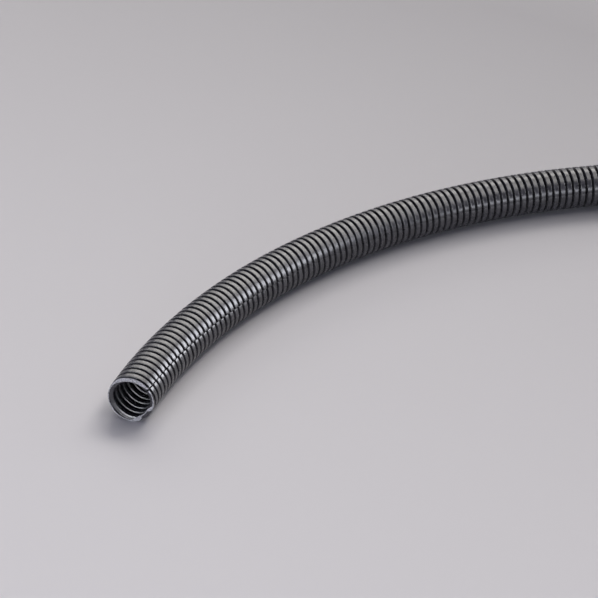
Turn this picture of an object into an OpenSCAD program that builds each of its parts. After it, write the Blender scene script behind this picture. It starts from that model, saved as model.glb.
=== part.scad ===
// Split corrugated conduit: one plastic tube blown into ring-shaped waves and slit along its whole
// length. The piece lies on the floor: a quarter turn that it keeps from its coil, then a straight run.

/* [Tube] */
// Outside diameter, over the crests
outside_d = 24; // [23:0.5:30]
// Inside diameter, at the roots between the crests
bore_d = 19; // [15:0.5:20]
// Thickness of the plastic
wall = 0.45; // [0.35:0.05:0.6]

/* [Waves] */
// Distance from one crest to the next
pitch = 4.2; // [4:0.1:5]
// Width of a crest, over its two flanks
crest_w = 2.8; // [2.4:0.1:3]
// Bevel that rounds the shoulders of a crest
shoulder = 0.5; // [0.3:0.05:0.6]

/* [Slit] */
// Width of the slit
slit_w = 0.5; // [0.3:0.1:1]
// Where the slit is at the near mouth, in degrees from the top towards the inside of the bend
slit_near = 52; // [20:1:70]
// Where the slit has wound to further along, in degrees from the top
slit_far = 84; // [70:1:84]
// Length of tube over which most of that winding happens
slit_settle = 130; // [80:10:300]

/* [Run] */
// Length of the piece along its middle
length = 1000; // [700:50:1500]
// Radius of the bend, to the middle of the tube
bend_r = 325; // [300:5:400]
// How far into the first wave the saw went through, at the middle of the tube
saw_cut = 1.9; // [1.8:0.1:2.6]
// How far the saw was out of square at the near mouth, in degrees, with more cut off at the top
saw_tilt = 5; // [0:0.5:5]
// Width of the last crest that the saw left at the far mouth, where it went through square
far_crest = 1.6; // [1.2:0.1:2]

/* [Hidden] */
$fn = 72;

crest_r = outside_d / 2;
root_r = bore_d / 2;
// Each wave's root runs this far into the flank of the next wave
seat_depth = wall / 2;
// The flank that takes it begins this far out in the root's wall
seat_lap = wall / 4;

// The bend is a row of short straight waves, each turned a little from the last
turn = 90;
bent_waves = round(bend_r * turn * PI / 180 / pitch);
wave_turn = turn / bent_waves;
joint_r = pitch / 2 / sin(wave_turn / 2);
middle_r = pitch / 2 / tan(wave_turn / 2);
straight_waves = round(length / pitch) - bent_waves;
straight_l = straight_waves * pitch + far_crest;

// Waves of the bend that are joined to each other before they are joined to the rest
lot = 11;

// Corners of the box round the whole run, seen from the middle of the bend
mouth_lean = norm([tan(saw_tilt) * cos(wave_turn / 2), sin(wave_turn / 2)]);
mouth_low = saw_cut * cos(wave_turn / 2) - crest_r * mouth_lean;
run_low = [-joint_r - crest_r, mouth_low];
run_high = [straight_l, joint_r + crest_r];

// Angle of the slit on wave number k, from the side of the tube that faces the middle of the bend
function slit_angle(k) =
  slit_far - (slit_far - slit_near) * exp(-k * pitch / slit_settle) - 90;

// Outline of the wall along its outside, for the parts of a wave that starts at distance a
function rise_outside(a) = [[crest_r - shoulder, a], [crest_r, a + shoulder]];
function fall_outside(a) = [[crest_r, a + crest_w - shoulder], [crest_r - shoulder, a + crest_w]];
function root_outside(a) = [[root_r + wall, a + crest_w], [root_r + wall, a + pitch]];

// The same along its inside, listed backwards
function root_inside(a) = [[root_r, a + pitch + wall], [root_r, a + crest_w - wall]];
function fall_inside(a) = [[crest_r - wall, a + crest_w - wall]];
function rise_inside(a) = [[crest_r - wall, a + wall]];

// A wave starts at the flank that the last root enters
start_outside = concat([[root_r + seat_lap, 0]], rise_outside(0));
start_inside = concat(rise_inside(0), [[root_r + seat_lap, wall]]);

// One wave of the bend, ending in the root that enters the next wave
wave_section = concat(
  start_outside,
  fall_outside(0),
  [[root_r + wall, crest_w], [root_r + wall, pitch + seat_depth]],
  [[root_r, pitch + seat_depth], [root_r, crest_w - wall]],
  fall_inside(0),
  start_inside
);

// The straight run: whole waves, then the crest that the saw has cut through
function run_section(count) = let (end = straight_l) concat(
  start_outside,
  fall_outside(0),
  root_outside(0),
  [for (k = [1 : count - 1], p = concat(rise_outside(k * pitch), fall_outside(k * pitch),
    root_outside(k * pitch))) p],
  rise_outside(count * pitch),
  [[crest_r, end], [crest_r - wall, end]],
  rise_inside(count * pitch),
  [for (k = [count - 1 : -1 : 1], p = concat(root_inside(k * pitch), fall_inside(k * pitch),
    rise_inside(k * pitch))) p],
  root_inside(0),
  fall_inside(0),
  start_inside
);

// A section of the wall turned about the middle of the tube and left open at the slit
module slit_tube(section, angle) {
  slit_turn = slit_w / crest_r * 180 / PI;
  rotate([0, 0, angle])
    rotate_extrude(angle = 360 - slit_turn, start = slit_turn / 2)
      polygon(section);
}

// The first wave, with what the saw has taken off it. Up is -Y here, before the wave is laid down.
module sawn_wave() {
  difference() {
    slit_tube(wave_section, slit_angle(0));
    translate([0, 0, saw_cut])
      rotate([-saw_tilt, 0, 0])
        translate([-outside_d, -outside_d, -outside_d])
          cube([2 * outside_d, 2 * outside_d, outside_d]);
  }
}

// Some waves of the bend, drawn where the middle of a full lot lies along Y
module bent_lot(first, count) {
  union()
    for (i = [0 : count - 1])
      rotate([0, 0, (lot / 2 - i - 0.5) * wave_turn])
        translate([-middle_r, -pitch / 2, 0])
          rotate([-90, 0, 0])
            if (first + i == 0)
              sawn_wave();
            else
              slit_tube(wave_section, slit_angle(first + i));
}

module conduit() {
  color([0.16, 0.16, 0.18])
    translate([-(run_low.x + run_high.x) / 2, -(run_low.y + run_high.y) / 2, crest_r])
      union() {
        for (first = [0 : lot : bent_waves - 1])
          rotate([0, 0, -(first + lot / 2) * wave_turn])
            bent_lot(first, min(lot, bent_waves - first));
        rotate([0, 0, -turn])
          translate([-joint_r, 0, 0])
            rotate([-90, 0, 0])
              slit_tube(run_section(straight_waves), slit_angle(bent_waves));
      }
}

conduit();
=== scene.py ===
import math

import bpy
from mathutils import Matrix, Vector, noise


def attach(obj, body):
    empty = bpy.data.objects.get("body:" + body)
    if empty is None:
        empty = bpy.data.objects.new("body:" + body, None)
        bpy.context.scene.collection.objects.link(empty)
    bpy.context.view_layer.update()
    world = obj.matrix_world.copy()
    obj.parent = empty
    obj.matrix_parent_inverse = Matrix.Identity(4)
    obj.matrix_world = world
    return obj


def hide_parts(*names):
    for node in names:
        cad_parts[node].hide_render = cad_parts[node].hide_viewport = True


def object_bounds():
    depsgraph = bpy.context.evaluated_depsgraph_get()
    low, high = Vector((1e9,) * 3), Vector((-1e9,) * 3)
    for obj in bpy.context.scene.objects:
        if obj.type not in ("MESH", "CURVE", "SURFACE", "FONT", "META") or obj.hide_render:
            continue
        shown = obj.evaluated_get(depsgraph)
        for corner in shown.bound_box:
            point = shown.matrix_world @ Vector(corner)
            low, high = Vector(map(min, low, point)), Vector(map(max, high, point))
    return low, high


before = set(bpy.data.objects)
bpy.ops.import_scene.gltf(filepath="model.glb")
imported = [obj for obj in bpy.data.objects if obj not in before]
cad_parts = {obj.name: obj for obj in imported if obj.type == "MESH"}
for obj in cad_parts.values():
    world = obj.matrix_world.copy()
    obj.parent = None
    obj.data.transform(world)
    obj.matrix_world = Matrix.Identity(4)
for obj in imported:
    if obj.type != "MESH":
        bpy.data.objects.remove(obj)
cad_low, cad_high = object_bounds()


# The camera looks down at the near mouth and along the bend, from a little over a metre away,
# through a long lens.
camera_at = Vector((-0.09195, -0.92349, 0.54931))
camera_aims_at = Vector((-0.35601, -0.03261, 0.0))
lens_mm = 120.16

camera = bpy.data.objects.new("camera", bpy.data.cameras.new("camera"))
bpy.context.collection.objects.link(camera)
camera.location = camera_at
camera.rotation_euler = (camera_aims_at - camera_at).to_track_quat("-Z", "Y").to_euler()
camera.data.lens = lens_mm
camera.data.sensor_width = 36
camera.data.clip_end = 50
bpy.context.scene.camera = camera


# The conduit is one tube of black polyethylene, extruded soft, blown into ring-shaped waves in a
# moving mould, slit along its length and sawn off through a crest at each end. It lies loose and
# keeps its bend from the coil, which has sheared the slit's lips past each other near the mouth.

# Lengths are in millimetres and angles in degrees, from the near end and from the top of the tube
MM = 0.001
pitch = 4.2
crest_w = 2.8
crest_r = (cad_high[2] - cad_low[2]) / 2 / MM
root_r = 9.95
bore_r = 9.5
bend_waves = 122
all_waves = 238
far_crest = 1.6
saw_cut, saw_tilt = 1.75, 4.1
slit_near, slit_far, slit_settle = 52, 84, 130
gap_near, gap_far, gap_settle = 0.32, 0.12, 90
gap_mouth, flare_l = 1.2, 3
# The lower lip is pushed back by the jog, which fades along the tube and on the way round it
jog_near, jog_ends, jog_fade, jog_share = 4.4, 178, 1.25, 0.46
# How deep each lip is sunk, the lower one first, how far round that reaches, and where it sets in
lip_dents = [(0.22, 12), (0.30, 14)]
dents_set_in = 8
# Unevenness of the rings, along the tube and inwards, and the length over which the far end is true
ring_shift, ring_dent, true_l = 0.05, 0.03, 12
sides = 32
mouth_waves = 14
far_end_waves = 4
rows_by_saw = 60

bend_l = bend_waves * pitch
bend_r = bend_l / (math.pi / 2)
tube_l = all_waves * pitch + far_crest
bend_x = cad_high[0] / MM - (tube_l - bend_l)
bend_y = cad_high[1] / MM - crest_r - bend_r


def middle_at(along):
    """Middle of the tube at a distance along it, and the directions along it and into its bend."""
    if along < bend_l:
        turned = along / bend_r
        heading = math.pi / 2 - turned
        x, y = bend_x - bend_r * math.cos(turned), bend_y + bend_r * math.sin(turned)
        at = Vector((x, y, crest_r))
    else:
        heading = 0
        at = Vector((bend_x + along - bend_l, bend_y + bend_r, crest_r))
    return (
        at,
        Vector((math.cos(heading), math.sin(heading), 0)),
        Vector((math.sin(heading), -math.cos(heading), 0)),
    )


def eased(x):
    """Goes smoothly from 0 to 1 as x does."""
    x = min(max(x, 0), 1)
    return x * x * (3 - 2 * x)


def line_from_lip(rows, share):
    """Follows the half section along the tube at one place on its way round from the slit's lower
    lip, share 0, under the tube and over it to the upper lip, share 1. Gives for each row the
    distance along, the angle from the top, the radius, and how far the surface there leans back
    along the tube and round it."""
    line = []
    for a, r, lean, wave in rows:
        slit_at = slit_far - (slit_far - slit_near) * math.exp(-a / slit_settle)
        gap = gap_far + (gap_near - gap_far) * math.exp(-((a / gap_settle) ** 2))
        gap += gap_mouth * math.exp(-a / flare_l)
        half_gap = math.degrees(gap / 2 / crest_r)
        past_lower = share * (360 - 2 * half_gap)
        past_upper = 360 - 2 * half_gap - past_lower
        angle = math.radians(slit_at + half_gap + past_lower)
        jog = jog_near * max(0, 1 - a / jog_ends) ** jog_fade
        s = a - jog * max(0, 1 - share / jog_share)
        shift = ring_shift * eased((tube_l - a) / true_l)
        round_x, round_y = math.cos(angle), math.sin(angle)
        s += shift * noise.noise(Vector((round_x, round_y, wave * 1.7 + 40)))
        dent = ring_dent + ring_dent * noise.noise(Vector((round_x, round_y, wave * 0.7)))
        slope = 0
        for (depth, width), past, side in zip(lip_dents, (past_lower, past_upper), (-1, 1)):
            sunk = depth * eased(a / dents_set_in) * math.exp(-past / width)
            dent += sunk
            slope += side * math.degrees(sunk / width) / crest_r
        line.append((s, angle, r - dent, math.radians(lean), math.atan(slope)))
    return line


def sawn(line):
    """Ends the line at the saw's plane: the rows in front of it all move to where it crosses."""
    tilt = math.tan(math.radians(saw_tilt))
    past = [s - saw_cut - tilt * r * math.cos(angle) for s, angle, r, lean, roll in line]
    last = max(i for i in range(rows_by_saw) if past[i] <= 0)
    share = past[last] / (past[last] - past[last + 1])
    cross = tuple(a + share * (b - a) for a, b in zip(line[last], line[last + 1]))
    return last, [cross] * (last + 1) + line[last + 1 :]


# Half section of one wave: distance along the tube, radius, and how far the surface leans back
wave_outside = [
    (0.00, root_r, -86), (0.09, 11.68, -80), (0.17, 11.90, -45), (0.36, 12.0, 0),
    (2.44, 12.0, 0), (2.63, 11.90, 45), (2.71, 11.68, 80), (crest_w, root_r, 86),
]
wave_inside_mouth = [
    (0.46, 11.15, 80), (0.66, 11.50, 20), (2.04, 11.50, -20), (2.24, 11.15, -80), (2.40, 9.97, -72),
    (2.58, 9.62, -58), (2.90, bore_r, 0), (4.08, bore_r, 0), (4.38, 9.62, 45), (4.52, 9.90, 78),
]
wave_inside_deep = [(0.44, 11.45, 90), (2.36, 11.45, -90), (2.50, bore_r, -40), (4.50, bore_r, 40)]

rows_outside, rows_inside = [], []
for k in range(all_waves + 1):
    for a, r, lean in wave_outside:
        if k * pitch + a < tube_l:
            rows_outside.append((k * pitch + a, r, lean, k))
    near_a_mouth = k < mouth_waves or k > all_waves - far_end_waves
    for a, r, lean in wave_inside_mouth if near_a_mouth else wave_inside_deep:
        if k * pitch + a < tube_l:
            rows_inside.append((k * pitch + a, r, lean, k))
rows_outside.append((tube_l, crest_r, 0, all_waves))
rows_inside.append((tube_l, 11.5, 0, all_waves))

points, normals, faces, faces_slit, faces_sawn = [], [], [], [], []


def skin(rows, flip):
    """Makes the points and faces of one side of the wall. Returns its lines of point numbers."""
    lines = []
    for j in range(sides + 1):
        last, line = sawn(line_from_lip(rows, j / sides))
        numbers = []
        for i, (s, angle, r, lean, roll) in enumerate(line):
            if 0 < i <= last:
                numbers.append(numbers[0])
                continue
            at, ahead, inward = middle_at(s)
            up = Vector((0, 0, 1))
            numbers.append(len(points))
            points.append((at + r * (math.cos(angle) * up + math.sin(angle) * inward)) * MM)
            out = math.cos(angle + roll) * up + math.sin(angle + roll) * inward
            normals.append(math.cos(lean) * (-out if flip else out) + math.sin(lean) * ahead)
        lines.append(numbers)
    for j in range(sides):
        for i in range(len(rows) - 1):
            quad = (lines[j][i], lines[j + 1][i], lines[j + 1][i + 1], lines[j][i + 1])
            corners = [n for m, n in enumerate(quad) if n != quad[m - 1]]
            if len(corners) > 2:
                faces.append(corners[::-1] if flip else corners)
    return lines


def wall_strip(outer, inner, flip, strip):
    """Closes the wall between a line of outside points and a line of inside points."""
    i = j = 0
    while i < len(outer) - 1 or j < len(inner) - 1:
        go_outer = j == len(inner) - 1 or (
            i < len(outer) - 1 and outer[i + 1][1] <= inner[j + 1][1]
        )
        if go_outer:
            face = (outer[i][0], outer[i + 1][0], inner[j][0])
            i += 1
        else:
            face = (outer[i][0], inner[j + 1][0], inner[j][0])
            j += 1
        if len(set(face)) == 3:
            strip.append(face[::-1] if flip else face)


lines_outside = skin(rows_outside, False)
lines_inside = skin(rows_inside, True)
for j, flip in ((0, False), (sides, True)):
    wall_strip(
        [(n, row[0]) for n, row in zip(lines_outside[j], rows_outside)],
        [(n, row[0]) for n, row in zip(lines_inside[j], rows_inside)],
        flip,
        faces_slit,
    )
for end, flip in ((0, True), (-1, False)):
    wall_strip(
        [(numbers[end], j) for j, numbers in enumerate(lines_outside)],
        [(numbers[end], j) for j, numbers in enumerate(lines_inside)],
        flip,
        faces_sawn,
    )

mesh = bpy.data.meshes.new("conduit_tube")
mesh.from_pydata(points, [], faces + faces_slit + faces_sawn)
own_normal = Vector((0, 0, 0))
corner_normals = []
for polygon in mesh.polygons:
    moulded = polygon.index < len(faces)
    polygon.use_smooth = moulded
    polygon.material_index = 0 if polygon.index < len(faces) + len(faces_slit) else 1
    corner_normals += [normals[n] if moulded else own_normal for n in polygon.vertices]
mesh.normals_split_custom_set(corner_normals)
conduit = bpy.data.objects.new("conduit_tube", mesh)
bpy.context.collection.objects.link(conduit)


def colour(code):
    """An sRGB hex colour as linear numbers."""
    channels = [int(code[i : i + 2], 16) / 255 for i in (1, 3, 5)]
    return [c / 12.92 if c <= 0.04045 else ((c + 0.055) / 1.055) ** 2.4 for c in channels] + [1]


def node(tree, kind, settings=None, **inputs):
    """Adds a node with its settings, and sets or links its inputs."""
    made = tree.nodes.new(kind)
    for name, value in (settings or {}).items():
        setattr(made, name, value)
    for name, value in inputs.items():
        key = int(name[1:]) if name[0] == "i" and name[1:].isdigit() else name.replace("_", " ")
        if isinstance(value, bpy.types.NodeSocket):
            tree.links.new(value, made.inputs[key])
        else:
            made.inputs[key].default_value = value
    return made


def ramp(tree, factor, stops):
    """Turns a factor into a colour, by stops of position and colour."""
    made = node(tree, "ShaderNodeValToRGB", Fac=factor)
    while len(made.color_ramp.elements) < len(stops):
        made.color_ramp.elements.new(0.5)
    for element, (at, value) in zip(made.color_ramp.elements, stops):
        element.position = at
        element.color = value
    return made.outputs["Color"]


def grey(value):
    return (value, value, value, 1)


# Polyethylene with carbon black, as it left the blowing mould: smooth, with a soft semi-gloss, a
# faint grain from the mould and slow changes of sheen where the wall thinned as it was blown.
blown = bpy.data.materials.new("blown_black_polyethylene")
blown.use_nodes = True
tree = blown.node_tree
tree.nodes.clear()
place = node(tree, "ShaderNodeTexCoord").outputs["Object"]
thinning = node(tree, "ShaderNodeTexNoise", Vector=place, Scale=220, Detail=3, Roughness=0.6)
grain = node(tree, "ShaderNodeTexNoise", Vector=place, Scale=1600, Detail=2, Roughness=0.5)
tone = ramp(tree, thinning.outputs["Fac"], [(0.3, colour("#323134")), (0.7, colour("#424145"))])
sheen = ramp(tree, thinning.outputs["Fac"], [(0.3, grey(0.23)), (0.7, grey(0.31))])
relief = node(tree, "ShaderNodeBump", Strength=0.12, Distance=0.00008, Height=grain.outputs["Fac"])
surface = node(
    tree, "ShaderNodeBsdfPrincipled",
    Base_Color=tone, Roughness=sheen, IOR=1.54, Normal=relief.outputs["Normal"],
)
node(tree, "ShaderNodeOutputMaterial", Surface=surface.outputs["BSDF"])

# The same plastic where the saw went through it: paler and dull, with torn fibres.
cut = bpy.data.materials.new("sawn_black_polyethylene")
cut.use_nodes = True
tree = cut.node_tree
tree.nodes.clear()
place = node(tree, "ShaderNodeTexCoord").outputs["Object"]
tearing = node(tree, "ShaderNodeTexNoise", Vector=place, Scale=1400, Detail=4, Roughness=0.7)
tone = ramp(tree, tearing.outputs["Fac"], [(0.36, colour("#57565a")), (0.66, colour("#bdbcc2"))])
relief = node(tree, "ShaderNodeBump", Strength=0.5, Distance=0.0001, Height=tearing.outputs["Fac"])
surface = node(
    tree, "ShaderNodeBsdfPrincipled",
    Base_Color=tone, Roughness=0.6, IOR=1.51, Normal=relief.outputs["Normal"],
)
node(tree, "ShaderNodeOutputMaterial", Surface=surface.outputs["BSDF"])

mesh.materials.append(blown)
mesh.materials.append(cut)
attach(conduit, "root")
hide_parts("conduit")


# The floor is a sheet of pale grey board, without a pattern. Its grey deepens slowly towards the
# back and the right, by so much a metre, as painted shade for the light falling off there, and is a
# very little cloudy.
floor_half = 2.2
painted_shade_slope = (0.33, 0.91, 0)
floor_mesh = bpy.data.meshes.new("floor")
corners = [(x * floor_half, y * floor_half, 0) for x, y in ((-1, -1), (1, -1), (1, 1), (-1, 1))]
floor_mesh.from_pydata(corners, [], [(0, 1, 2, 3)])
floor = bpy.data.objects.new("floor", floor_mesh)
bpy.context.collection.objects.link(floor)
board = bpy.data.materials.new("matt_grey_board")
board.use_nodes = True
tree = board.node_tree
tree.nodes.clear()
place = node(tree, "ShaderNodeTexCoord").outputs["Object"]
cloud = node(tree, "ShaderNodeTexNoise", Vector=place, Scale=3, Detail=2)
cloudy = node(
    tree, "ShaderNodeMath", {"operation": "MULTIPLY_ADD"},
    i0=cloud.outputs["Fac"], i1=0.03, i2=0.485,
)
# Painted shade: the grey darkens along this slope, where the light falls off towards the back and
# the right.
painted_falloff = node(tree, "ShaderNodeVectorMath", {"operation": "DOT_PRODUCT"}, i0=place, i1=painted_shade_slope)
depth = node(
    tree, "ShaderNodeMath", {"operation": "ADD"},
    i0=painted_falloff.outputs["Value"], i1=cloudy.outputs["Value"],
)
# This grey carries the painted shade of the slope above, and the faint cloudiness of the board.
tone = ramp(tree, depth.outputs["Value"], [(0.05, colour("#dddbdd")), (0.75, colour("#979597"))])
surface = node(tree, "ShaderNodeBsdfPrincipled", Base_Color=tone, Roughness=0.75)
node(tree, "ShaderNodeOutputMaterial", Surface=surface.outputs["BSDF"])
floor_mesh.materials.append(board)


# Soft panels stand all round the conduit at one distance, well out of the camera's view. The wide
# ones behind and above it light the floor, those at its right draw the bright line along the slit,
# and those in front light the mouth. Azimuths are from the x axis, in degrees.
panels_around = Vector((-0.30, 0.0, 0.0))
panels_away = 3.0


def panel(name, azimuth, elevation, width, height, radiance, tint, on_floor=True):
    """A soft panel that faces the conduit, placed and sized by the angles at which it is seen. One
    that is kept off the floor adds nothing to any diffuse surface, and shows only in the gloss."""
    azimuth, elevation = math.radians(azimuth), math.radians(elevation)
    towards = Vector((math.cos(azimuth), math.sin(azimuth), math.tan(elevation))).normalized()
    light = bpy.data.lights.new(name, "AREA")
    light.shape = "RECTANGLE"
    light.size = 2 * panels_away * math.tan(math.radians(width / 2)) * math.cos(elevation)
    light.size_y = 2 * panels_away * math.tan(math.radians(height / 2))
    light.energy = radiance * math.pi * light.size * light.size_y
    light.color = tint
    made = bpy.data.objects.new(name, light)
    bpy.context.collection.objects.link(made)
    made.visible_diffuse = on_floor
    made.location = panels_around + panels_away * towards
    made.rotation_euler = (-towards).to_track_quat("-Z", "Y").to_euler()


panel("back_panel", 84, 50, 74, 18, 6.8, (1.0, 0.97, 0.93))
panel("back_lower_panel", 92, 35, 96, 14, 2.0, (1.0, 0.97, 0.93))
panel("right_top_panel", 20, 64, 70, 16, 4.8, (1.0, 0.97, 0.93))
panel("right_middle_panel", 22, 46, 52, 18, 4.0, (1.0, 0.97, 0.95), on_floor=False)
panel("right_back_panel", 30, 18, 44, 22, 11.5, (0.92, 0.93, 1.0), on_floor=False)
panel("right_back_strip", 45, 4, 40, 8, 10.0, (0.93, 0.94, 1.0), on_floor=False)
panel("right_strip", -32, 5, 36, 9, 10.0, (0.90, 0.92, 1.0), on_floor=False)
panel("left_front_panel", 224, 14, 60, 28, 0.4, (0.70, 0.80, 1.0))
panel("left_back_panel", 124, 22, 60, 12, 2.0, (1.0, 0.98, 0.94))
panel("front_panel", 258, 15, 40, 16, 15.0, (0.95, 0.97, 1.0), on_floor=False)
panel("front_low_panel", 262, 5, 50, 9, 12.0, (0.92, 0.94, 1.0))

# The room gives a little blue light from all round. Only the camera sees its pale wall.
world = bpy.data.worlds.new("room")
world.use_nodes = True
tree = world.node_tree
tree.nodes.clear()
fill = node(tree, "ShaderNodeBackground", Color=(0.46, 0.50, 1.0, 1), Strength=0.10)
wall = node(tree, "ShaderNodeBackground", Color=colour("#c8c6c9"), Strength=1)
seen = node(tree, "ShaderNodeLightPath").outputs["Is Camera Ray"]
shown = node(
    tree, "ShaderNodeMixShader",
    i0=seen, i1=fill.outputs["Background"], i2=wall.outputs["Background"],
)
node(tree, "ShaderNodeOutputWorld", Surface=shown.outputs["Shader"])
bpy.context.scene.world = world
bpy.context.scene.view_settings.view_transform = "Standard"
